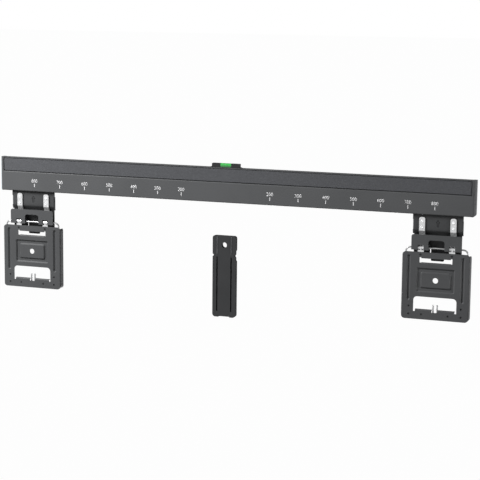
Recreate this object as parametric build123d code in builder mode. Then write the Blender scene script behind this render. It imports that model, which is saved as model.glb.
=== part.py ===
from build123d import *
import os

# Sizes are in millimetres.
# X runs along the rail, the wall is the plane y = 0 and the front faces -Y.
# z = 0 is the middle of the rail's screw web.

# Wall rail, one folded sheet
rail_length = 934.0
rail_height = 65.0
rail_depth = 14.0
rail_sheet = 1.5
rail_inner_bend = 0.5
rail_corner = 5.0
band_height = 27.0
lip_height = 11.0
lip_end_margin = 12.0
end_frame = 6.5
slot_length = 30.0
slot_width = 7.0
slot_pitch = 160.0
slot_count = 6

# Screw cover strip
cover_end_gap = 1.2
cover_edge_gap = 0.8
cover_setback = 1.0
cover_wall = 1.8
cover_leg = 6.0
cover_leg_wall = 1.4
cover_edge_round = 0.5

# Bubble level on top of the rail
level_length = 54.0
level_foot = 60.0
level_foot_height = 1.2
level_height = 7.8
level_depth = 8.0
level_front_gap = 1.0
level_round = 0.8
vial_length = 21.8
vial_height = 7.0
vial_depth = 7.0
vial_round = 3.2
vial_floor = 1.0
vial_gap = 0.1

# Spacer strip, by itself on the wall below the rail
spacer_offset = -3.3
spacer_width = 46.0
spacer_height = 154.0
spacer_depth = 8.0
spacer_drop = 127.8
spacer_top_round = 4.5
spacer_bottom_round = 6.0
spacer_hole_r = 5.25
spacer_hole_drop = 17.5
spacer_notch_drop = 37.0
spacer_notch = 2.8
scallop_r = 22.0
scallop_depth = 3.0
scallop_wall = 4.0
foot_recess_width = 22.0
foot_recess = 1.4
groove_offset = 14.0
groove_width = 2.3
groove_depth = 6.0
groove_top = 40.0
groove_length = 103.0
ridge_width = 0.9
ridge_height = 0.5
ridge_top = 1.0
ridge_length = 34.5

# Hanging bracket, the same on both sides
bracket_offset = 400.0

# Hook plate
hook_width = 91.0
hook_low_width = 86.6
hook_sheet = 2.0
hook_gap = 0.5
hook_inner_bend = 0.4
hook_reach = 6.0
fold_top = 75.0
fold_strip = 4.0
fold_depth = 4.0
fold_bend = 2.6
joggle_drop = 93.5
joggle_height = 7.0
joggle_depth = 3.0
joggle_bend = 8.0
hook_bottom = 136.0
tongue_width = 23.6
tongue_bottom = 148.6
tongue_round = 2.0
slit_width = 2.0
slit_top = 125.5
arrow_drop = 80.6
arrow_height = 13.0
arrow_head = 6.0
arrow_width = 8.0
arrow_stem = 3.6
arrow_line = 0.9
arrow_depth = 0.5

# Hinge: wire pin, rolled straps above, rolled leaves below
hinge_drop = 124.8
wire_r = 1.5
pin_clearance = 0.1
strap_sheet = 2.0
strap_width = 10.7
strap_offset = 28.25
strap_top = 70.2
strap_round = 3.5
strap_crease = 0.5
strap_lag = 0.5
strap_low_flat = 5.0
strap_ramp = 6.0
knuckle_width = 2.4
knuckle_side_gap = 0.3
knuckle_swing_gap = 0.6
leaf_bottom = 140.5
rivet_r = 1.5
rivet_head_r = 2.3
rivet_head = 0.9
rivet_dish_r = 1.5
rivet_dish = 0.8
rivet_dish_slope = 50.0
rivet_back_head = 0.6
rivet_clearance = 0.05
rivet_upper = 77.0
rivet_lower = 87.9
leaf_rivet_drop = 136.5
leaf_rivet_r = 1.0
leaf_rivet_head_r = 1.6
leaf_rivet_head = 0.4

# Hinge cover
hood_width = 90.6
hood_top = 100.8
hood_bottom = 128.4
hood_sheet = 1.5
hood_round = 4.0
arch_width = 29.4
arch_top = 110.2
arch_round = 5.0
tab_wire_wall = 4.0
window_clearance = 0.1
window_top = 119.4
window_round = 1.0
hood_hole_clearance = 0.3

# TV plate
plate_proud = 1.5
plate_sheet = 1.5
plate_width = 123.0
plate_top = 132.1
plate_bottom = 253.5
plate_round = 7.5
plate_bend = 2.5
plate_flange = 12.5
vesa_r = 5.0
vesa_drop = 182.1
rib_offset = 49.0
rib_top = 137.5
rib_length = 83.0
rib_width = 7.0
press_depth = 2.2
press_wall = 1.0
press_slope = 50.0
moat_outer_width = 69.6
moat_outer_height = 43.6
moat_inner_width = 50.4
moat_inner_height = 25.4
moat_outer_round = 3.0
moat_inner_round = 1.5
slot_half = 29.6
slot_top = 143.1
slot_bottom = 151.0
slot_ear = 3.0
slot_ear_rise = 1.6
finger_half = 39.2
finger_top = 212.3
finger_bottom = 235.4
finger_round = 7.0
relief_width = 3.4
relief_depth = 4.1
notch_width = 11.4
notch_depth = 4.9
edge_lip = 3.5
lip_bend = 2.2
dimple_r = 1.9
dimple_depth = 1.2
dimple_slope = 15.0
dimple_outer = 47.4
dimple_inner = 24.0
dimple_upper = 230.3
dimple_lower = 244.7

# Wire bail
bail_side_gap = 2.5
bail_bottom = 247.8
bail_top_bend = 8.0
bail_low_bend = 8.0
post_offset = 3.7
post_top = 226.7
post_bend = 5.0
post_round = 0.6

# Levels of the rail
rail_top = (band_height + rail_sheet) / 2
shelf_under = rail_top - band_height - rail_sheet
rail_bottom = rail_top - rail_height
lip_top = rail_bottom + lip_height
rail_outer_bend = rail_inner_bend + rail_sheet
skirt_back = -rail_depth + rail_sheet
trough = hook_sheet + 2 * hook_gap
lip_front = skirt_back + trough
lip_back = lip_front + rail_sheet

# Planes of the bracket, counted from the wall
hook_front = lip_back + hook_gap
hook_back = hook_front + hook_sheet
hook_lip_front = lip_front - hook_gap - hook_sheet
plate_front = -rail_depth - plate_proud
plate_back = plate_front + plate_sheet
knuckle_bore = wire_r + pin_clearance
knuckle_r = knuckle_bore + strap_sheet
hinge_y = plate_back + knuckle_r
hinge_z = rail_top - hinge_drop
knuckle_back = hinge_y + knuckle_r
hook_front_low = hook_front + joggle_depth
joggle_end = joggle_drop + joggle_height
rib_middle = rib_top + rib_length / 2
bail_half = plate_width / 2 - plate_sheet - bail_side_gap - wire_r


def wall_plane(x, y):
    return Plane(origin=(x, y, rail_top), x_dir=(1, 0, 0), z_dir=(0, -1, 0))


def side_plane(x):
    return Plane(origin=(x, 0, 0), x_dir=(0, 1, 0), z_dir=(1, 0, 0))


os.makedirs("parts", exist_ok=True)

# Wall rail
with BuildPart() as wall_rail:
    # Folded section: top flange, screw web, shelf, skirt and the lip inside its lower edge
    with BuildSketch(side_plane(-rail_length / 2)):
        with BuildLine():
            FilletPolyline(
                (-rail_depth, rail_top),
                (0, rail_top),
                (0, shelf_under),
                (skirt_back, shelf_under),
                (skirt_back, rail_bottom + rail_sheet),
                (lip_front, rail_bottom + rail_sheet),
                (lip_front, lip_top),
                radius=[
                    rail_outer_bend,
                    rail_outer_bend,
                    rail_inner_bend,
                    rail_inner_bend,
                    rail_inner_bend,
                ],
            )
            offset(amount=rail_sheet, side=Side.RIGHT)
        make_face()
    extrude(amount=rail_length)
    # The lip stops short of the folded ends
    with BuildSketch(Plane.XY.offset(rail_bottom)):
        with Locations((0, skirt_back / 2)):
            Rectangle(rail_length, -skirt_back)
            Rectangle(rail_length - 2 * lip_end_margin, -skirt_back, mode=Mode.SUBTRACT)
    extrude(amount=lip_height, mode=Mode.SUBTRACT)
    # Folded ends, the full depth and height
    with BuildSketch(Plane.XY.offset(rail_bottom)) as end_walls:
        with Locations((0, -rail_depth / 2)):
            Rectangle(rail_length, rail_depth)
        fillet(end_walls.vertices().group_by(Axis.Y)[0], rail_corner)
        offset(amount=-rail_sheet, mode=Mode.SUBTRACT)
        with Locations((0, -rail_depth / 2)):
            Rectangle(rail_length - 2 * end_frame, rail_depth, mode=Mode.SUBTRACT)
    extrude(amount=rail_height)
    # Rounded front corners in plan
    with BuildSketch(Plane.XY.offset(rail_bottom)) as plan:
        with Locations((0, -rail_depth / 2)):
            Rectangle(rail_length, rail_depth)
        fillet(plan.vertices().group_by(Axis.Y)[0], rail_corner)
    extrude(amount=rail_height, mode=Mode.INTERSECT)
    # Rounded lower corners seen from the front
    with BuildSketch(wall_plane(0, 0)) as front:
        with Locations((0, -rail_height / 2)):
            Rectangle(rail_length, rail_height)
        fillet(front.vertices().group_by(Axis.Y)[0], rail_corner)
    extrude(amount=rail_depth, mode=Mode.INTERSECT)
    # Slots for the wall screws
    with BuildSketch(Plane.XZ):
        with GridLocations(slot_pitch, 0, slot_count, 1):
            SlotOverall(slot_length, slot_width)
    extrude(amount=rail_sheet, mode=Mode.SUBTRACT)
wall_rail.part.label = "wall_rail"
export_step(wall_rail.part, "parts/wall_rail.step")

# Screw cover strip with two clip legs
cover_length = rail_length - 2 * end_frame - 2 * cover_end_gap
cover_front = -rail_depth + cover_setback
channel_top = rail_top - rail_sheet
channel_floor = rail_top - band_height
channel_height = channel_top - channel_floor
with BuildPart() as screw_cover:
    with BuildSketch(side_plane(-cover_length / 2)) as cover_section:
        with Locations((cover_front + cover_wall / 2, (channel_top + channel_floor) / 2)):
            Rectangle(cover_wall, channel_height - 2 * cover_edge_gap)
        fillet(cover_section.vertices().group_by(Axis.X)[0], cover_edge_round)
        with Locations((cover_front + cover_wall + cover_leg / 2, 0)):
            with Locations((0, channel_top - cover_leg_wall / 2)):
                Rectangle(cover_leg, cover_leg_wall)
            with Locations((0, channel_floor + cover_leg_wall / 2)):
                Rectangle(cover_leg, cover_leg_wall)
    extrude(amount=cover_length)
screw_cover.part.label = "screw_cover"
export_step(screw_cover.part, "parts/screw_cover.step")

# Saddle of the bubble level
level_y = -rail_depth + level_front_gap + level_depth / 2
with BuildPart() as level_body:
    with BuildSketch(Plane.XY.offset(rail_top)):
        with Locations((0, level_y)):
            Rectangle(level_foot, level_depth)
    extrude(amount=level_foot_height)
    with BuildSketch(Plane.XY.offset(rail_top)):
        with Locations((0, level_y)):
            Rectangle(level_length, level_depth)
    extrude(amount=level_height)
    top_edges = level_body.faces().sort_by(Axis.Z)[-1].edges()
    fillet(top_edges, level_round)
    with BuildSketch(Plane.XY.offset(rail_top + vial_floor)):
        with Locations((0, level_y)):
            Rectangle(vial_length, level_depth)
    extrude(amount=level_height, mode=Mode.SUBTRACT)
level_body.part.label = "level_body"
export_step(level_body.part, "parts/level_body.step")

# Green vial
with BuildPart() as level_vial:
    with BuildSketch(side_plane(-vial_length / 2 + vial_gap)) as vial_section:
        with Locations((level_y, rail_top + vial_floor + vial_height / 2)):
            Rectangle(vial_depth, vial_height)
        fillet(vial_section.vertices().group_by(Axis.Y)[-1], vial_round)
    extrude(amount=vial_length - 2 * vial_gap)
level_vial.part.label = "level_vial"
export_step(level_vial.part, "parts/level_vial.step")

# Spacer strip
spacer_top = rail_top - spacer_drop
spacer_face = Plane(origin=(spacer_offset, -spacer_depth, spacer_top), x_dir=(1, 0, 0), z_dir=(0, -1, 0))
with BuildPart() as spacer_strip:
    with BuildSketch(spacer_face) as spacer_outline:
        with Locations((0, -spacer_height / 2)):
            Rectangle(spacer_width, spacer_height)
        fillet(spacer_outline.vertices().group_by(Axis.Y)[0], spacer_bottom_round)
        fillet(spacer_outline.vertices().group_by(Axis.Y)[-1], spacer_top_round)
        with Locations((-spacer_width / 2, -spacer_notch_drop), (spacer_width / 2, -spacer_notch_drop)):
            Rectangle(spacer_notch * 2**0.5, spacer_notch * 2**0.5, rotation=45, mode=Mode.SUBTRACT)
        with Locations((0, -spacer_hole_drop)):
            Circle(spacer_hole_r, mode=Mode.SUBTRACT)
        with Locations((0, -spacer_height)):
            Rectangle(foot_recess_width, 2 * foot_recess, mode=Mode.SUBTRACT)
    extrude(amount=-spacer_depth)
    # Scallops behind the notches, in the half of the strip next to the wall
    with BuildSketch(spacer_face.offset(-spacer_depth)):
        scallop_x = spacer_width / 2 + scallop_r - scallop_depth
        with Locations((-scallop_x, -spacer_notch_drop), (scallop_x, -spacer_notch_drop)):
            Circle(scallop_r)
    extrude(amount=scallop_wall, mode=Mode.SUBTRACT)
    # Deep grooves, and the thin ridges above them
    with BuildSketch(spacer_face):
        with Locations((-groove_offset, -groove_top), (groove_offset, -groove_top)):
            Rectangle(groove_width, groove_length, align=(Align.CENTER, Align.MAX))
    extrude(amount=-groove_depth, mode=Mode.SUBTRACT)
    with BuildSketch(spacer_face):
        with Locations((-groove_offset, -ridge_top), (groove_offset, -ridge_top)):
            Rectangle(ridge_width, ridge_length, align=(Align.CENTER, Align.MAX))
    extrude(amount=ridge_height)
spacer_strip.part.label = "spacer_strip"
export_step(spacer_strip.part, "parts/spacer_strip.step")

for side, x in (("left", -bracket_offset), ("right", bracket_offset)):
    # Hook plate: hook over the rail's lip, flat front, joggle, tongue
    with BuildPart() as hook_plate:
        with BuildSketch(side_plane(x)):
            with BuildLine():
                FilletPolyline(
                    (hook_lip_front, lip_top - hook_reach),
                    (hook_lip_front, lip_top + hook_sheet),
                    (hook_back, lip_top + hook_sheet),
                    (hook_back, rail_top - joggle_drop),
                    (hook_back + joggle_depth, rail_top - joggle_end),
                    (hook_back + joggle_depth, rail_top - tongue_bottom),
                    radius=[
                        hook_inner_bend + hook_sheet,
                        hook_inner_bend + hook_sheet,
                        joggle_bend,
                        joggle_bend,
                    ],
                )
                offset(amount=hook_sheet, side=Side.RIGHT)
            make_face()
        extrude(amount=hook_width / 2, both=True)
        # Tongue below the lower edge, with a slit beside its root, the same side on both brackets
        with BuildSketch(wall_plane(x, 0)):
            with Locations((0, -hook_bottom)):
                Rectangle(2 * hook_width, tongue_bottom, align=(Align.CENTER, Align.MAX))
            with Locations((0, -tongue_bottom)):
                RectangleRounded(tongue_width, 2 * (tongue_bottom - hook_bottom), tongue_round,
                                 align=(Align.CENTER, Align.MIN), mode=Mode.SUBTRACT)
            with Locations((-tongue_width / 2, -slit_top)):
                Rectangle(slit_width, hook_bottom - slit_top, align=(Align.MAX, Align.MAX))
        extrude(amount=rail_depth, mode=Mode.SUBTRACT)
        # Below the joggle the plate is narrower
        with BuildSketch(wall_plane(x, 0)):
            with Locations((0, -joggle_end)):
                Rectangle(2 * hook_width, hook_bottom, align=(Align.CENTER, Align.MAX))
                Rectangle(hook_low_width, hook_bottom, align=(Align.CENTER, Align.MAX), mode=Mode.SUBTRACT)
        extrude(amount=rail_depth, mode=Mode.SUBTRACT)
        # Side folds towards the wall, straight down past the joggle
        for hand in (-1, 1):
            with BuildSketch(wall_plane(x, 0)):
                with Locations((hand * (hook_width - fold_strip) / 2, -(fold_top + joggle_drop) / 2)):
                    Rectangle(fold_strip, joggle_drop - fold_top)
            extrude(amount=rail_depth, mode=Mode.SUBTRACT)
            with BuildSketch(Plane(origin=(x, 0, rail_top - joggle_drop))):
                with BuildLine():
                    FilletPolyline(
                        (hand * (hook_width / 2 - fold_strip), hook_front),
                        (hand * hook_width / 2, hook_front),
                        (hand * hook_width / 2, hook_front + fold_depth),
                        radius=fold_bend,
                    )
                    offset(amount=hook_sheet, side=Side.LEFT if hand > 0 else Side.RIGHT)
                make_face()
            extrude(amount=joggle_drop - fold_top)
            with BuildSketch(Plane(origin=(x, 0, rail_top - joggle_end))):
                with Locations((hand * (hook_width - hook_sheet) / 2, hook_back)):
                    Rectangle(hook_sheet, fold_depth - hook_sheet, align=(Align.CENTER, Align.MIN))
            extrude(amount=joggle_height)
        # Rivet holes
        with BuildSketch(wall_plane(x, 0)):
            with Locations((0, -(rivet_upper + rivet_lower) / 2)):
                with GridLocations(2 * strap_offset, rivet_lower - rivet_upper, 2, 2):
                    Circle(rivet_r + rivet_clearance)
        extrude(amount=rail_depth, mode=Mode.SUBTRACT)
        # Pressed outline of an upward arrow
        with BuildSketch(wall_plane(x, hook_front)):
            with BuildLine():
                Polyline(
                    (-arrow_stem / 2, -arrow_drop - arrow_height / 2),
                    (arrow_stem / 2, -arrow_drop - arrow_height / 2),
                    (arrow_stem / 2, -arrow_drop + arrow_height / 2 - arrow_head),
                    (arrow_width / 2, -arrow_drop + arrow_height / 2 - arrow_head),
                    (0, -arrow_drop + arrow_height / 2),
                    (-arrow_width / 2, -arrow_drop + arrow_height / 2 - arrow_head),
                    (-arrow_stem / 2, -arrow_drop + arrow_height / 2 - arrow_head),
                    close=True,
                )
            make_face()
            offset(amount=-arrow_line, kind=Kind.INTERSECTION, mode=Mode.SUBTRACT)
        extrude(amount=-arrow_depth, mode=Mode.SUBTRACT)
    hook_plate.part.label = f"{side}_hook_plate"
    export_step(hook_plate.part, f"parts/{side}_hook_plate.step")

    # Hinge cover: a flat front over the hinge, carried by two tabs folded back beside its arch
    with BuildPart() as hinge_cover:
        with BuildSketch(wall_plane(x, plate_front)) as hood_outline:
            with Locations((0, -(hood_top + hood_bottom) / 2)):
                Rectangle(hood_width, hood_bottom - hood_top)
            fillet(hood_outline.vertices().group_by(Axis.Y)[-1], hood_round)
        extrude(amount=-hood_sheet)
        # Arch and knuckle windows, open at the lower edge
        with BuildSketch(wall_plane(x, plate_front)) as arch:
            with Locations((0, -arch_top)):
                Rectangle(arch_width, hood_bottom, align=(Align.CENTER, Align.MAX))
            fillet(arch.vertices().group_by(Axis.Y)[-1], arch_round)
        extrude(amount=-hood_sheet, mode=Mode.SUBTRACT)
        with BuildSketch(wall_plane(x, plate_front)) as windows:
            with Locations((-strap_offset, -window_top), (strap_offset, -window_top)):
                Rectangle(strap_width + 2 * window_clearance, hood_bottom, align=(Align.CENTER, Align.MAX))
            fillet(windows.vertices().group_by(Axis.Y)[-1], window_round)
        extrude(amount=-hood_sheet, mode=Mode.SUBTRACT)
        # Tabs back to the hook plate, the wire passes through both
        tab_top = hinge_drop - wire_r - tab_wire_wall
        with BuildSketch(Plane(origin=(x, 0, rail_top - hood_bottom))):
            tab_x = (arch_width + hood_sheet) / 2
            with Locations((-tab_x, plate_front), (tab_x, plate_front)):
                Rectangle(hood_sheet, hook_front_low - plate_front, align=(Align.CENTER, Align.MIN))
        extrude(amount=hood_bottom - tab_top)
        with BuildSketch(side_plane(x)):
            with Locations((hinge_y, hinge_z)):
                Circle(wire_r + hood_hole_clearance)
        extrude(amount=hood_width, both=True, mode=Mode.SUBTRACT)
    hinge_cover.part.label = f"{side}_hinge_cover"
    export_step(hinge_cover.part, f"parts/{side}_hinge_cover.step")

    for place, shift in (("outer", -strap_offset), ("inner", strap_offset)):
        middle = x + (shift if side == "left" else -shift)
        # Strap: flat on the hook plate, rolled round the wire at its lower end
        with BuildPart() as strap:
            with BuildSketch(side_plane(middle)):
                with BuildLine():
                    FilletPolyline(
                        (hook_front, rail_top - strap_top),
                        (hook_front, rail_top - joggle_drop - strap_lag),
                        (hook_front_low, rail_top - joggle_end - strap_lag),
                        (hook_front_low, rail_top - joggle_end - strap_low_flat),
                        (knuckle_back, rail_top - joggle_end - strap_low_flat - strap_ramp),
                        (knuckle_back, hinge_z),
                        radius=[
                            strap_crease,
                            joggle_bend - hook_sheet,
                            strap_crease + strap_sheet,
                            strap_crease + strap_sheet,
                        ],
                    )
                    offset(amount=strap_sheet, side=Side.RIGHT)
                make_face()
                with Locations((hinge_y, hinge_z)):
                    Circle(knuckle_r)
                    Circle(knuckle_bore, mode=Mode.SUBTRACT)
            extrude(amount=strap_width / 2, both=True)
            top_corners = strap.edges().filter_by(Axis.Y).group_by(Axis.Z)[-1]
            fillet(top_corners, strap_round)
            # Room for the leaf's knuckle between the strap's two knuckles
            with BuildSketch(side_plane(middle)):
                with Locations((hinge_y, hinge_z + knuckle_swing_gap / 2)):
                    Rectangle(4 * knuckle_r, 2 * knuckle_r + knuckle_swing_gap)
            extrude(amount=knuckle_width / 2 + knuckle_side_gap, both=True, mode=Mode.SUBTRACT)
            with BuildSketch(wall_plane(middle, 0)):
                with Locations((0, -rivet_upper), (0, -rivet_lower)):
                    Circle(rivet_r + rivet_clearance)
            extrude(amount=rail_depth, mode=Mode.SUBTRACT)
        strap.part.label = f"{side}_strap_{place}"
        export_step(strap.part, f"parts/{side}_strap_{place}.step")

        # Leaf: flat on the back of the TV plate, one knuckle between the strap's two
        with BuildPart() as leaf:
            with BuildSketch(side_plane(middle)):
                with Locations((plate_back, rail_top - leaf_bottom)):
                    Rectangle(strap_sheet, leaf_bottom - hinge_drop, align=(Align.MIN, Align.MIN))
                with Locations((hinge_y, hinge_z)):
                    Circle(knuckle_r)
                    Circle(knuckle_bore, mode=Mode.SUBTRACT)
            extrude(amount=strap_width / 2, both=True)
            with BuildSketch(wall_plane(middle, 0)):
                with Locations((0, -hinge_drop - knuckle_r - knuckle_swing_gap)):
                    Rectangle(2 * strap_width, 4 * knuckle_r, align=(Align.CENTER, Align.MIN))
                    Rectangle(knuckle_width, 4 * knuckle_r, align=(Align.CENTER, Align.MIN),
                              mode=Mode.SUBTRACT)
            extrude(amount=2 * rail_depth, mode=Mode.SUBTRACT)
            with BuildSketch(wall_plane(middle, 0)):
                with Locations((0, -leaf_rivet_drop)):
                    Circle(leaf_rivet_r + rivet_clearance)
            extrude(amount=2 * rail_depth, mode=Mode.SUBTRACT)
        leaf.part.label = f"{side}_leaf_{place}"
        export_step(leaf.part, f"parts/{side}_leaf_{place}.step")

    # Rivets through the straps and the hook plate
    with BuildPart() as strap_rivets:
        with BuildSketch(wall_plane(x, hook_back)):
            with Locations((0, -(rivet_upper + rivet_lower) / 2)):
                with GridLocations(2 * strap_offset, rivet_lower - rivet_upper, 2, 2):
                    Circle(rivet_r)
        extrude(amount=hook_sheet + strap_sheet)
        with BuildSketch(wall_plane(x, hook_front - strap_sheet)):
            with Locations((0, -(rivet_upper + rivet_lower) / 2)):
                with GridLocations(2 * strap_offset, rivet_lower - rivet_upper, 2, 2):
                    Circle(rivet_head_r)
        extrude(amount=rivet_head)
        with BuildSketch(wall_plane(x, hook_front - strap_sheet - rivet_head)):
            with Locations((0, -(rivet_upper + rivet_lower) / 2)):
                with GridLocations(2 * strap_offset, rivet_lower - rivet_upper, 2, 2):
                    Circle(rivet_dish_r)
        extrude(amount=-rivet_dish, taper=rivet_dish_slope, mode=Mode.SUBTRACT)
        with BuildSketch(wall_plane(x, hook_back)):
            with Locations((0, -(rivet_upper + rivet_lower) / 2)):
                with GridLocations(2 * strap_offset, rivet_lower - rivet_upper, 2, 2):
                    Circle(rivet_head_r)
        extrude(amount=-rivet_back_head)
    strap_rivets.part.label = f"{side}_strap_rivets"
    export_step(strap_rivets.part, f"parts/{side}_strap_rivets.step")

    # TV plate
    with BuildPart() as tv_plate:
        # Front and two side flanges, folded from one sheet
        with BuildSketch(Plane(origin=(x, 0, rail_top - plate_bottom))):
            with BuildLine():
                FilletPolyline(
                    (-plate_width / 2, plate_front + plate_flange),
                    (-plate_width / 2, plate_front),
                    (plate_width / 2, plate_front),
                    (plate_width / 2, plate_front + plate_flange),
                    radius=plate_bend,
                )
                offset(amount=plate_sheet, side=Side.LEFT)
            make_face()
        extrude(amount=plate_bottom - plate_top)
        with BuildSketch(wall_plane(x, 0)) as plate_outline:
            with Locations((0, -(plate_top + plate_bottom) / 2)):
                RectangleRounded(plate_width, plate_bottom - plate_top, plate_round)
        extrude(amount=-plate_front, mode=Mode.INTERSECT)
        # Pressed ribs and pressed frame round the screw hole: backs first, then fronts
        with BuildSketch(wall_plane(x, plate_back)):
            with Locations((-rib_offset, -rib_middle), (rib_offset, -rib_middle)):
                SlotOverall(rib_length + 2 * press_wall, rib_width + 2 * press_wall, rotation=90)
            with Locations((0, -vesa_drop)):
                RectangleRounded(moat_outer_width + 2 * press_wall, moat_outer_height + 2 * press_wall,
                                 moat_outer_round)
                RectangleRounded(moat_inner_width - 2 * press_wall, moat_inner_height - 2 * press_wall,
                                 moat_inner_round, mode=Mode.SUBTRACT)
        extrude(amount=-press_depth)
        with BuildSketch(wall_plane(x, plate_front)):
            with Locations((-rib_offset, -rib_middle), (rib_offset, -rib_middle)):
                SlotOverall(rib_length, rib_width, rotation=90)
            with Locations((0, -vesa_drop)):
                RectangleRounded(moat_outer_width, moat_outer_height, moat_outer_round)
                RectangleRounded(moat_inner_width, moat_inner_height, moat_inner_round, mode=Mode.SUBTRACT)
        extrude(amount=-press_depth, taper=press_slope, mode=Mode.SUBTRACT)
        # Slot under the upper edge, with relief ears and a lip behind its lower edge
        with BuildSketch(wall_plane(x, plate_back)):
            with Locations((0, -slot_top)):
                Rectangle(2 * slot_half, slot_bottom - slot_top, align=(Align.CENTER, Align.MAX))
            with Locations((slot_ear / 2 - slot_half, -slot_top), (slot_half - slot_ear / 2, -slot_top)):
                Rectangle(slot_ear, 2 * slot_ear_rise)
        extrude(amount=plate_sheet, mode=Mode.SUBTRACT)
        with BuildSketch(wall_plane(x, plate_front)):
            with Locations((0, -slot_bottom)):
                Rectangle(2 * (slot_half - slot_ear), plate_sheet, align=(Align.CENTER, Align.MAX))
        extrude(amount=-plate_sheet - edge_lip)
        # Finger opening, reliefs beside its folded lip, notch for the bail's ends
        with BuildSketch(wall_plane(x, plate_back)) as finger:
            with Locations((0, -finger_top)):
                Rectangle(2 * finger_half, finger_bottom - finger_top, align=(Align.CENTER, Align.MAX))
            fillet(finger.vertices().group_by(Axis.Y)[-1], finger_round)
            relief_x = finger_half - relief_width / 2
            with Locations((-relief_x, -finger_bottom), (relief_x, -finger_bottom)):
                Rectangle(relief_width, 2 * relief_depth)
            with Locations((0, -finger_bottom)):
                Rectangle(notch_width, 2 * notch_depth)
        extrude(amount=plate_sheet, mode=Mode.SUBTRACT)
        with BuildSketch(wall_plane(x, plate_front)):
            with Locations((0, -finger_bottom)):
                Rectangle(2 * (finger_half - relief_width), plate_sheet, align=(Align.CENTER, Align.MAX))
                Rectangle(notch_width, 4 * plate_sheet, mode=Mode.SUBTRACT)
        extrude(amount=-plate_sheet - edge_lip)
        # Rounded bends of the two folded lips
        for drop, half in ((slot_bottom, slot_half - slot_ear), (finger_bottom, finger_half - relief_width)):
            with BuildSketch(side_plane(x)):
                with Locations((plate_front, rail_top - drop)):
                    Rectangle(lip_bend, lip_bend, align=(Align.MIN, Align.MAX))
                with Locations((plate_front + lip_bend, rail_top - drop - lip_bend)):
                    Circle(lip_bend, mode=Mode.SUBTRACT)
            extrude(amount=half, both=True, mode=Mode.SUBTRACT)
        # Punched dimples near the lower corners
        with BuildSketch(wall_plane(x, plate_front)):
            with Locations((-dimple_outer, -dimple_upper), (dimple_outer, -dimple_upper)):
                Circle(dimple_r)
            with Locations((-dimple_outer, -dimple_lower), (dimple_outer, -dimple_lower)):
                Circle(dimple_r)
            with Locations((-dimple_inner, -dimple_lower), (dimple_inner, -dimple_lower)):
                Circle(dimple_r)
        extrude(amount=-dimple_depth, taper=dimple_slope, mode=Mode.SUBTRACT)
        # Screw hole for the television, rivet holes
        with BuildSketch(wall_plane(x, plate_front)):
            with Locations((0, -vesa_drop)):
                Circle(vesa_r)
            with Locations((-strap_offset, -leaf_rivet_drop), (strap_offset, -leaf_rivet_drop)):
                Circle(leaf_rivet_r + rivet_clearance)
        extrude(amount=-plate_sheet, mode=Mode.SUBTRACT)
    tv_plate.part.label = f"{side}_tv_plate"
    export_step(tv_plate.part, f"parts/{side}_tv_plate.step")

    # Rivets through the TV plate and its leaves
    with BuildPart() as leaf_rivets:
        with BuildSketch(wall_plane(x, plate_front)):
            with Locations((-strap_offset, -leaf_rivet_drop), (strap_offset, -leaf_rivet_drop)):
                Circle(leaf_rivet_head_r)
        extrude(amount=leaf_rivet_head)
        with BuildSketch(wall_plane(x, plate_front)):
            with Locations((-strap_offset, -leaf_rivet_drop), (strap_offset, -leaf_rivet_drop)):
                Circle(leaf_rivet_r)
        extrude(amount=-plate_sheet - strap_sheet)
        with BuildSketch(wall_plane(x, plate_back + strap_sheet)):
            with Locations((-strap_offset, -leaf_rivet_drop), (strap_offset, -leaf_rivet_drop)):
                Circle(leaf_rivet_head_r)
        extrude(amount=-leaf_rivet_head)
    leaf_rivets.part.label = f"{side}_leaf_rivets"
    export_step(leaf_rivets.part, f"parts/{side}_leaf_rivets.step")

    # Wire bail: hinge pin above, legs behind the TV plate, two ends side by side
    with BuildPart() as wire_bail:
        with BuildLine(wall_plane(x, hinge_y)) as bail_path:
            FilletPolyline(
                (-post_offset, -post_top),
                (-post_offset, -bail_bottom),
                (-bail_half, -bail_bottom),
                (-bail_half, -hinge_drop),
                (bail_half, -hinge_drop),
                (bail_half, -bail_bottom),
                (post_offset, -bail_bottom),
                (post_offset, -post_top),
                radius=[
                    post_bend,
                    bail_low_bend,
                    bail_top_bend,
                    bail_top_bend,
                    bail_low_bend,
                    post_bend,
                ],
            )
        with BuildSketch(Plane(origin=bail_path.line @ 0, z_dir=bail_path.line % 0)):
            Circle(wire_r)
        sweep()
        fillet(wire_bail.faces().filter_by(Plane.XY).edges(), post_round)
    wire_bail.part.label = f"{side}_wire_bail"
    export_step(wire_bail.part, f"parts/{side}_wire_bail.step")
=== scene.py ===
import math
import bpy
import bmesh
from mathutils import Matrix, Vector


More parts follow.
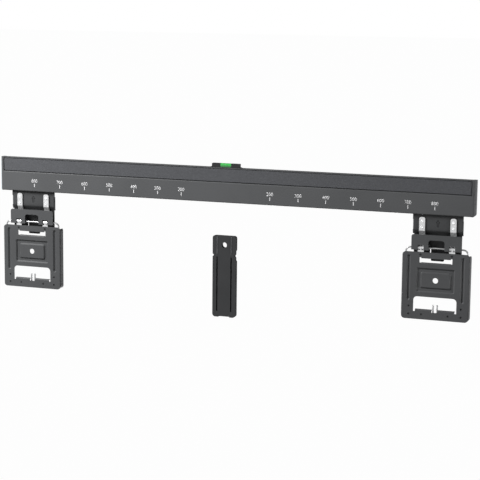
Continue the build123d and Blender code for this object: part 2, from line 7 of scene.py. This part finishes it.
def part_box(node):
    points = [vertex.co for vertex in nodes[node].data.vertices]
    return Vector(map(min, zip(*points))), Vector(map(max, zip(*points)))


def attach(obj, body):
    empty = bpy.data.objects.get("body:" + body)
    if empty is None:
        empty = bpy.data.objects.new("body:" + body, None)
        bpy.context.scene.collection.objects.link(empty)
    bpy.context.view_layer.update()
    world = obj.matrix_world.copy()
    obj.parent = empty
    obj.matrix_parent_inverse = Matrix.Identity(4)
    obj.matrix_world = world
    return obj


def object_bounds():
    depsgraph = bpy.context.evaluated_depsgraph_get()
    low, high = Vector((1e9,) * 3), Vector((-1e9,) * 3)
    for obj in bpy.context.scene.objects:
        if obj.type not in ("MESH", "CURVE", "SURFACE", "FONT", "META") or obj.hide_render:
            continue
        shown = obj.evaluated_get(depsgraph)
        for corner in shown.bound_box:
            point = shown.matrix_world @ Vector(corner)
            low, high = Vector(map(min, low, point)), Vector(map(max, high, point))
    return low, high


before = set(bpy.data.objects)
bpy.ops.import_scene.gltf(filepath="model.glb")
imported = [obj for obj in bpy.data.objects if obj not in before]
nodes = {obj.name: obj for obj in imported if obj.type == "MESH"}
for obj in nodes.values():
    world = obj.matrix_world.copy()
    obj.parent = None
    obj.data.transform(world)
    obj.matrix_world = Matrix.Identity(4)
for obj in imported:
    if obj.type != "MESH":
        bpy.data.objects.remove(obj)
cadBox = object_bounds()  # box of the solids, before anything is added
scene = bpy.context.scene
scene.view_settings.view_transform = "Standard"
print("frame loaded:", len(nodes), "nodes")


class Wire:  # one output socket, usable in sums
    def __init__(self, recipe, socket):
        self.recipe = recipe
        self.socket = socket

    def calc(self, operation, first, second):
        return self.recipe.node("ShaderNodeMath", {"operation": operation}, {0: first, 1: second})

    def __add__(self, other):
        return self.calc("ADD", self, other)

    def __radd__(self, other):
        return self.calc("ADD", other, self)

    def __sub__(self, other):
        return self.calc("SUBTRACT", self, other)

    def __rsub__(self, other):
        return self.calc("SUBTRACT", other, self)

    def __mul__(self, other):
        return self.calc("MULTIPLY", self, other)

    def __rmul__(self, other):
        return self.calc("MULTIPLY", other, self)

    def __truediv__(self, other):
        return self.calc("DIVIDE", self, other)

    def __rtruediv__(self, other):
        return self.calc("DIVIDE", other, self)

    def __pow__(self, other):
        return self.calc("POWER", self, other)

    def __rpow__(self, other):
        return self.calc("POWER", other, self)

    def __lt__(self, other):
        return self.calc("LESS_THAN", self, other)

    def __gt__(self, other):
        return self.calc("GREATER_THAN", self, other)

    def __abs__(self):
        return self.calc("ABSOLUTE", self, 0.0)


def shade(colour, factor=1.0):  # a colour made darker or lighter, with full alpha
    return tuple(c * factor for c in colour) + (1.0,)


class Recipe:  # one node tree and the way to add to it
    def __init__(self, tree):
        self.tree = tree
        self.tree.nodes.clear()

    def node(self, kind, settings, sockets, output=0):
        made = self.tree.nodes.new(kind)
        for key, value in settings.items():
            setattr(made, key, value)
        for key, value in sockets.items():
            if isinstance(value, Wire):
                self.tree.links.new(value.socket, made.inputs[key])
            else:
                made.inputs[key].default_value = value
        return None if output is None else Wire(self, made.outputs[output])

    def place(self):  # metres in the piece's own frame
        return self.node("ShaderNodeTexCoord", {}, {}, "Object")

    def axis(self, vector, index):  # 0 along the rail, 1 towards the wall, 2 up
        return self.node("ShaderNodeSeparateXYZ", {}, {0: vector}, index)

    def noise(self, place, scale, detail, rough=0.5):
        return self.node("ShaderNodeTexNoise", {},
                         {"Vector": place, "Scale": scale, "Detail": detail, "Roughness": rough})

    def blend(self, share, first, second):
        return self.node("ShaderNodeMix", {"data_type": "RGBA"}, {0: share, 6: first, 7: second}, 2)

    def tones(self, share, colour, low, high):  # one colour between two strengths
        return self.blend(share, shade(colour, low), shade(colour, high))

    def swing(self, value, size):  # a noise about its middle, 0.5, as a change to both sides
        return size * (value - 0.5)

    def bump(self, height, strength, distance):
        return self.node("ShaderNodeBump", {},
                         {"Height": height, "Strength": strength, "Distance": distance})

    def smooth(self, value, low, high):  # 0 at low, 1 at high, eased between
        return self.node("ShaderNodeMapRange", {"interpolation_type": "SMOOTHSTEP"},
                         {0: value, 1: low, 2: high, 3: 0.0, 4: 1.0})

    def crevice(self, reach, power, samples=12):  # 1 in the open, towards 0 in corners and recesses
        openness = self.node("ShaderNodeAmbientOcclusion", {"samples": samples}, {"Distance": reach}, "AO")
        return openness ** power

    def ray(self, kind):
        return self.node("ShaderNodeLightPath", {}, {}, kind)

    def seenRays(self):  # 1 for what the camera sees, straight, mirrored or through glass
        total = self.ray("Is Camera Ray") + self.ray("Is Glossy Ray") + self.ray("Is Transmission Ray")
        return total.calc("MINIMUM", total, 1.0)

    def finish(self, sockets):
        shader = self.node("ShaderNodeBsdfPrincipled", {}, sockets)
        self.node("ShaderNodeOutputMaterial", {}, {"Surface": shader}, None)


def newRecipe(name):
    made = bpy.data.materials.new(name)
    made.use_nodes = True
    return made, Recipe(made.node_tree)


# Black powder coat on the folded steel
# noises: scale, detail and roughness; bump: strength and depth; recess: reach and power of the shade
# painted into corners and folds
coat = {"colour": (0.089, 0.091, 0.094), "mottle": 0.06, "rough": 0.46, "gloss": 0.22,
        "cloud": (9.0, 3.0), "peel": (620.0, 2.0), "pits": (2600.0, 1.0),
        "tone": (0.3, 0.7), "fleck": (0.60, 0.74), "fleckShare": 0.22, "fleckLift": 1.9,
        "peelRough": 0.12, "cloudRough": 0.08,
        "peelHeight": 0.7, "pitsHeight": 0.3, "bump": (0.16, 0.00012),
        # lift: one paint in copies; the rail's copy is lighter as painted light, the hook plates' and leaf
        # rivets' copies darker as painted shade
        "lift": {"openCoat": 1.0, "railCoat": 1.15, "shadedCoat": 0.80, "shadedRivetCoat": 0.22},
        "recess": {"openCoat": [(0.0013, 3.0)], "railCoat": [(0.005, 2.8)],
                   "shadedCoat": [(0.030, 2.4), (0.0013, 9.0)], "shadedRivetCoat": []},
        # strength of the painted shade, as a share of the paint's colour
        "paintedShade": 0.06}


def powderCoat(name):
    made, r = newRecipe(name)
    place = r.place()
    cloud = r.noise(place, *coat["cloud"])  # slow change of tone along the sheet
    peel = r.noise(place, *coat["peel"])
    pits = r.noise(place, *coat["pits"])
    lift = coat["lift"][name]
    tone = r.smooth(cloud, *coat["tone"])
    colour = r.tones(tone, coat["colour"], lift - coat["mottle"], lift + coat["mottle"])
    fleck = r.smooth(pits, *coat["fleck"])
    colour = r.blend(fleck * coat["fleckShare"], colour, shade(coat["colour"], coat["fleckLift"]))
    for reach, power in coat["recess"][name]:  # painted shade, darker in corners and folds
        colour = r.blend(r.crevice(reach, power), shade(coat["colour"], coat["paintedShade"]), colour)
    rough = coat["rough"] + r.swing(peel, coat["peelRough"]) + r.swing(cloud, coat["cloudRough"])
    height = peel * coat["peelHeight"] + pits * coat["pitsHeight"]
    r.finish({"Base Color": colour, "Roughness": rough, "Normal": r.bump(height, *coat["bump"]),
              "Specular IOR Level": coat["gloss"]})
    return made


# Fine grained plastic of the screw cover strip
grain = {"colour": (0.126, 0.129, 0.138), "speck": 0.30, "rough": 0.58, "gloss": 0.06,
         "cells": (1500.0, 3.0, 0.7), "cloud": (12.0, 2.0), "light": (0.46, 0.66),
         "cloudShare": 0.25, "cloudLift": 1.15, "cellRough": 0.14, "bump": (0.35, 0.00018)}


def grainedStrip():
    made, r = newRecipe("grainedStrip")
    place = r.place()
    cells = r.noise(place, *grain["cells"])
    cloud = r.noise(place, *grain["cloud"])
    lightSpeck = r.smooth(cells, *grain["light"])
    colour = r.tones(lightSpeck, grain["colour"], 1 - grain["speck"], 1 + grain["speck"])
    colour = r.blend(cloud * grain["cloudShare"], colour, shade(grain["colour"], grain["cloudLift"]))
    rough = grain["rough"] + r.swing(cells, grain["cellRough"])
    r.finish({"Base Color": colour, "Roughness": rough, "Normal": r.bump(cells, *grain["bump"]),
              "Specular IOR Level": grain["gloss"]})
    return made


# Satin plastic of the level's saddle
saddle = {"colour": (0.042, 0.042, 0.043), "tone": (0.85, 1.2), "rough": 0.45, "gloss": 0.08,
          "fine": (1100.0, 2.0), "cloud": (60.0, 2.0), "fineRough": 0.12, "bump": (0.12, 0.00008)}


def saddlePlastic():
    made, r = newRecipe("saddlePlastic")
    place = r.place()
    fine = r.noise(place, *saddle["fine"])
    cloud = r.noise(place, *saddle["cloud"])
    colour = r.tones(cloud, saddle["colour"], *saddle["tone"])
    rough = saddle["rough"] + r.swing(fine, saddle["fineRough"])
    r.finish({"Base Color": colour, "Roughness": rough, "Normal": r.bump(fine, *saddle["bump"]),
              "Specular IOR Level": saddle["gloss"]})
    return made


# Green vial with its bubble and two marks, lengths in metres
vial = {"colour": (0.036, 0.51, 0.072), "deep": (0.008, 0.13, 0.02), "rise": (0.0008, 0.0022),
        "swirl": (240.0, 2.0), "swirlColour": (0.16, 0.72, 0.22), "swirlShare": 0.18,
        "bubbleLong": 0.0026, "bubbleWide": 0.0017, "bubbleDepth": 0.0030,
        "ring": (1.05, 0.8), "ringColour": (0.02, 0.30, 0.05), "ringShare": 0.55,
        "core": (0.75, 0.3), "coreColour": (0.45, 0.88, 0.45), "coreShare": 0.75,
        "mark": 0.0034, "markHalf": 0.00028, "markColour": (0.010, 0.014, 0.010), "markShare": 0.45,
        "rough": 0.16, "swirlRough": 0.05, "glaze": 0.6, "glazeRough": 0.06}


def vialLiquid():
    made, r = newRecipe("vialLiquid")
    low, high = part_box("level_vial")
    middle = (low + high) / 2
    place = r.place()
    x, y, z = (r.axis(place, index) for index in range(3))
    foot, crown = vial["rise"]
    rise = r.smooth(z, low.z + foot, high.z - crown)  # darker towards its foot
    swirl = r.noise(place, *vial["swirl"])
    colour = r.blend(rise, shade(vial["deep"]), shade(vial["colour"]))
    colour = r.blend(swirl * vial["swirlShare"], colour, shade(vial["swirlColour"]))
    along = (x - middle.x) / vial["bubbleLong"]
    across = (y - middle.y) / vial["bubbleWide"]
    spread = along ** 2.0 + across ** 2.0  # 1 on the bubble's edge
    upper = z > high.z - vial["bubbleDepth"]
    # the bubble, drawn as a darker ring of painted shade around a pale core of painted highlight
    for band in ("ring", "core"):
        share = r.smooth(spread, *vial[band]) * upper * vial[band + "Share"]
        colour = r.blend(share, colour, shade(vial[band + "Colour"]))
    mark = abs(abs(x - middle.x) - vial["mark"]) < vial["markHalf"]
    colour = r.blend(mark * vial["markShare"], colour, shade(vial["markColour"]))
    r.finish({"Base Color": colour, "Roughness": vial["rough"] + vial["swirlRough"] * swirl,
              "Coat Weight": vial["glaze"], "Coat Roughness": vial["glazeRough"]})
    return made


# Dull moulding of the loose spacer strip
moulding = {"colour": (0.059, 0.060, 0.062), "tone": (0.86, 1.16), "rough": 0.6, "gloss": 0.06,
            "fine": (900.0, 3.0, 0.6), "cloud": (22.0, 3.0), "fineRough": 0.12, "bump": (0.2, 0.00012),
            "recess": (0.006, 5.0), "paintedShade": 0.06, "ridge": (0.0004, 0.0002), "ridgeHighlight": 3.9}


def spacerMoulding():
    made, r = newRecipe("spacerMoulding")
    place = r.place()
    fine = r.noise(place, *moulding["fine"])
    cloud = r.noise(place, *moulding["cloud"])
    colour = r.tones(cloud, moulding["colour"], *moulding["tone"])
    # painted shade, darker in its grooves and recesses
    openness = r.crevice(*moulding["recess"])
    colour = r.blend(openness, shade(moulding["colour"], moulding["paintedShade"]), colour)
    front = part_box("spacer_strip")[0].y  # the tops of its two thin ridges, which get a painted highlight
    start, full = moulding["ridge"]
    ridge = r.smooth(r.axis(place, 1), front + start, front + full)
    # painted highlight along the ridge tops
    colour = r.blend(ridge, colour, shade(moulding["colour"], moulding["ridgeHighlight"]))
    rough = moulding["rough"] + r.swing(fine, moulding["fineRough"])
    r.finish({"Base Color": colour, "Roughness": rough, "Normal": r.bump(fine, *moulding["bump"]),
              "Specular IOR Level": moulding["gloss"]})
    return made


# Zinc plating on the hinge straps, leaves, rivets and wire
plating = {"colour": (0.93, 0.935, 0.94), "dull": (0.85, 0.855, 0.865), "rough": 0.36,
           "spangle": 420.0, "cloud": (160.0, 3.0), "fine": (1800.0, 2.0), "tone": (0.3, 0.7),
           "spangleShare": 0.55, "cloudShare": 0.45, "spangleRough": 0.16, "fineRough": 0.10,
           "bump": (0.10, 0.00006),
           "metal": {"zincPlating": 0.65, "brightZinc": 0.9, "wireZinc": 0.85},
           # lift: one plating in copies; the strap rivets' copy is lighter as a painted highlight, the
           # wire's copy darker as painted shade
           "lift": {"zincPlating": 0.80, "brightZinc": 1.06, "wireZinc": 0.46}}


def zincPlating(name):
    made, r = newRecipe(name)
    place = r.place()
    cells = {"Vector": place, "Scale": plating["spangle"]}
    spangle = r.node("ShaderNodeTexVoronoi", {"feature": "F1"}, cells, "Color")
    grey = r.node("ShaderNodeSeparateColor", {}, {0: spangle}, 0)
    cloud = r.noise(place, *plating["cloud"])
    fine = r.noise(place, *plating["fine"])
    share = plating["spangleShare"] * grey + plating["cloudShare"] * r.smooth(cloud, *plating["tone"])
    lift = plating["lift"][name]
    colour = r.blend(share, shade(plating["dull"], lift), shade(plating["colour"], lift))
    rough = plating["rough"] + r.swing(grey, plating["spangleRough"]) + r.swing(fine, plating["fineRough"])
    r.finish({"Base Color": colour, "Metallic": plating["metal"][name], "Roughness": rough,
              "Normal": r.bump(fine, *plating["bump"])})
    return made


# White ink of the scale
ink = {"colour": (0.97, 0.97, 0.98), "tone": (0.86, 1.06), "rough": 0.6,
       "wear": (1400.0, 2.0), "worn": (0.35, 0.7), "wearRough": 0.1}


def scaleInk():
    made, r = newRecipe("scaleInk")
    wear = r.noise(r.place(), *ink["wear"])
    colour = r.tones(r.smooth(wear, *ink["worn"]), ink["colour"], *ink["tone"])
    r.finish({"Base Color": colour, "Roughness": ink["rough"] + r.swing(wear, ink["wearRough"])})
    return made


finishes = {"coat": powderCoat("openCoat"), "rail": powderCoat("railCoat"),
            "deep": powderCoat("shadedCoat"), "rivet": powderCoat("shadedRivetCoat"),
            "grain": grainedStrip(), "saddle": saddlePlastic(),
            "vial": vialLiquid(), "moulding": spacerMoulding(),
            "zinc": zincPlating("zincPlating"), "bright": zincPlating("brightZinc"),
            "wire": zincPlating("wireZinc"), "ink": scaleInk()}
onWall = {"wall_rail": "rail", "screw_cover": "grain", "level_body": "saddle", "level_vial": "vial",
          "spacer_strip": "moulding"}
# the hook plates and leaf rivets take the darker copies of the coat, painted shade
onBrackets = {"hook_plate": "deep", "hinge_cover": "coat", "tv_plate": "coat", "leaf_rivets": "rivet",
              "strap_rivets": "bright", "wire_bail": "wire"}  # straps and leaves are plain zinc
for name, piece in nodes.items():
    word = name.split("_", 1)[1]  # without left_ or right_
    choice = onWall.get(name) or onBrackets.get(word, "zinc")
    piece.data.materials.clear()
    piece.data.materials.append(finishes[choice])
print("finishes set on", len(nodes), "solids")


# Printed scale on the rail's skirt: ticks and numbers, counted outwards from the middle
# lengths in metres, heights below the rail's top
scaleRow = {"left": (-0.0876, -0.1354, -0.1846, -0.2352, -0.2871, -0.3398, -0.3938),
            "right": (0.0872, 0.1416, 0.1942, 0.2459, 0.2964, 0.3462, 0.3950),
            "first": 200, "step": 100, "wordWide": 0.0126, "digitLow": -0.0480, "digitHigh": 0.0066,
            "tickTop": -0.0500, "tickLow": -0.0563, "tickWide": 0.0014,
            "film": 0.00006, "filmShare": 0.9, "bold": 0.010, "curveSteps": 6, "weld": 1e-7}


def flatWord(text, wide, high):  # a word as flat faces, its lower middle at the origin
    curve = bpy.data.curves.new("word", "FONT")
    curve.body = text
    curve.resolution_u = scaleRow["curveSteps"]
    curve.offset = scaleRow["bold"]
    holder = bpy.data.objects.new("word", curve)
    scene.collection.objects.link(holder)
    mesh = bpy.data.meshes.new_from_object(holder.evaluated_get(bpy.context.evaluated_depsgraph_get()))
    bpy.data.objects.remove(holder)
    bpy.data.curves.remove(curve)
    xs = [v.co.x for v in mesh.vertices]
    ys = [v.co.y for v in mesh.vertices]
    middle = (max(xs) + min(xs)) / 2
    foot = min(ys)
    scaleX = wide / (max(xs) - min(xs))
    scaleY = high / (max(ys) - foot)
    for v in mesh.vertices:
        v.co = Vector(((v.co.x - middle) * scaleX, (v.co.y - foot) * scaleY, 0.0))
    return mesh


def printScale():
    railLow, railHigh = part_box("wall_rail")
    face = railLow.y - scaleRow["film"]  # just proud of the paint
    top = railHigh.z
    half = scaleRow["tickWide"] / 2
    sheet = bmesh.new()

    def lay(mesh, across, up):  # stands a flat word on the skirt
        mesh.transform(Matrix(((1, 0, 0, across), (0, 0, -1, face), (0, 1, 0, up), (0, 0, 0, 1))))
        sheet.from_mesh(mesh)
        bpy.data.meshes.remove(mesh)

    for hand in ("left", "right"):
        for mark, across in enumerate(scaleRow[hand]):
            number = str(scaleRow["first"] + scaleRow["step"] * mark)
            word = flatWord(number, scaleRow["wordWide"], scaleRow["digitHigh"])
            lay(word, across, top + scaleRow["digitLow"])
            corners = [(across - half, scaleRow["tickLow"]), (across + half, scaleRow["tickLow"]),
                       (across + half, scaleRow["tickTop"]), (across - half, scaleRow["tickTop"])]
            sheet.faces.new([sheet.verts.new((cx, face, top + cz)) for cx, cz in corners])
    bmesh.ops.remove_doubles(sheet, verts=sheet.verts, dist=scaleRow["weld"])
    bmesh.ops.recalc_face_normals(sheet, faces=sheet.faces)
    for f in sheet.faces:
        if f.normal.y > 0:
            f.normal_flip()
    solid = bmesh.ops.extrude_face_region(sheet, geom=list(sheet.faces))  # a film with a little body
    bmesh.ops.translate(sheet, vec=(0, scaleRow["film"] * scaleRow["filmShare"], 0),
                        verts=[v for v in solid["geom"] if isinstance(v, bmesh.types.BMVert)])
    bmesh.ops.recalc_face_normals(sheet, faces=sheet.faces)
    mesh = bpy.data.meshes.new("scalePrint")
    sheet.to_mesh(mesh)
    sheet.free()
    piece = bpy.data.objects.new("scalePrint", mesh)
    scene.collection.objects.link(piece)
    piece.data.materials.append(finishes["ink"])
    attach(piece, "rail")


printScale()
print("scale printed")


# Pale floor well below the set, and a surround: white where they are seen, dim as light
studio = {"floorGap": 1.2, "floorHalf": 60.0, "floorColour": (0.05, 0.05, 0.05, 1.0), "glow": 0.985,
          "shade": 0.9, "shadeReach": (-0.5, 2.0), "white": (1.0, 1.0, 1.0),
          "surround": 0.025, "dusk": 0.75, "duskRise": (0.15, 0.7),
          "wallShade": 0.8, "wallBehind": (0.2, 0.8)}


def layFloor():
    floorZ = cadBox[0].z - studio["floorGap"]
    half = studio["floorHalf"]
    corners = [(-half, -half, floorZ), (half, -half, floorZ), (half, half, floorZ), (-half, half, floorZ)]
    mesh = bpy.data.meshes.new("floor")
    mesh.from_pydata(corners, [], [(0, 1, 2, 3)])
    floor = bpy.data.objects.new("floor", mesh)
    scene.collection.objects.link(floor)
    made, r = newRecipe("floorPaper")
    paper = r.node("ShaderNodeBsdfDiffuse", {}, {"Color": studio["floorColour"]})
    away = r.smooth(r.axis(r.place(), 1), *studio["shadeReach"])
    near = r.ray("Is Glossy Ray") * (1.0 - away)  # mirrored, the floor is dim in front
    tone = r.tones(near, studio["white"], 1.0, studio["shade"])
    glow = r.node("ShaderNodeEmission", {}, {"Color": tone, "Strength": 1.0})
    share = r.seenRays() * studio["glow"]
    mixed = r.node("ShaderNodeMixShader", {}, {0: share, 1: paper, 2: glow})
    r.node("ShaderNodeOutputMaterial", {}, {"Surface": mixed}, None)
    floor.data.materials.append(made)


def lightSurround():
    world = scene.world or bpy.data.worlds.new("surround")
    scene.world = world
    world.use_nodes = True
    r = Recipe(world.node_tree)
    ahead = r.node("ShaderNodeTexCoord", {}, {}, "Generated")
    high = r.smooth(r.axis(ahead, 2), *studio["duskRise"])
    behind = r.smooth(r.axis(ahead, 1), *studio["wallBehind"])
    bright = 1.0 - studio["dusk"] * high  # the backdrop ends well above the set
    mirrored = studio["wallShade"] * behind * r.ray("Is Glossy Ray")  # mirrored, the wall side is dim
    bright = bright * (1.0 - mirrored)
    strength = studio["surround"] + r.seenRays() * (bright - studio["surround"])
    back = r.node("ShaderNodeBackground", {}, {"Color": shade(studio["white"]), "Strength": strength})
    r.node("ShaderNodeOutputWorld", {}, {"Surface": back}, None)


layFloor()
lightSurround()


# Square lamps: places and sizes in metres, power in watts
lamps = {"key": {"place": (-1.40, -1.15, 1.08), "aim": (-0.15, 0.0, -0.08), "size": 0.8, "power": 66.0},
         "right": {"place": (1.9, -0.42, -0.1), "aim": (0.3, 0.0, -0.15), "size": 0.4, "power": 11.0},
         "back": {"place": (-0.6, 2.0, -0.75), "aim": (0.0, 0.0, -0.1), "size": 1.2, "power": 30.0}}
for name, lamp in lamps.items():
    light = bpy.data.lights.new(name, "AREA")
    light.energy = lamp["power"]
    light.size = lamp["size"]
    holder = bpy.data.objects.new(name, light)
    scene.collection.objects.link(holder)
    holder.location = lamp["place"]
    ahead = Vector(lamp["aim"]) - Vector(lamp["place"])
    holder.rotation_euler = ahead.to_track_quat("-Z", "Y").to_euler()
print("floor, surround and", len(lamps), "lamps placed")


# Camera from the fitted view: degrees to the left, down and rolled; lens and sensor in millimetres
viewpoint = {"place": (1.02746, -2.72393, 0.33760), "yaw": 20.205, "pitch": 8.972, "roll": 0.5647,
             "lens": 118.7, "sensor": 36.0, "clip": (0.05, 500.0)}


def placeCamera():
    yaw, pitch, roll = (math.radians(viewpoint[k]) for k in ("yaw", "pitch", "roll"))
    ahead = Vector((-math.sin(yaw) * math.cos(pitch), math.cos(yaw) * math.cos(pitch), -math.sin(pitch)))
    right = Vector((math.cos(yaw), math.sin(yaw), 0.0))
    up = right.cross(ahead)
    rolledRight = math.cos(roll) * right + math.sin(roll) * up
    rolledUp = -math.sin(roll) * right + math.cos(roll) * up
    data = bpy.data.cameras.new("camera")
    data.sensor_width = viewpoint["sensor"]
    data.lens = viewpoint["lens"]
    data.clip_start, data.clip_end = viewpoint["clip"]
    camera = bpy.data.objects.new("camera", data)
    scene.collection.objects.link(camera)
    turn = Matrix((rolledRight, rolledUp, -ahead)).transposed()
    camera.matrix_world = Matrix.Translation(viewpoint["place"]) @ turn.to_4x4()
    scene.camera = camera


placeCamera()
print("camera placed")
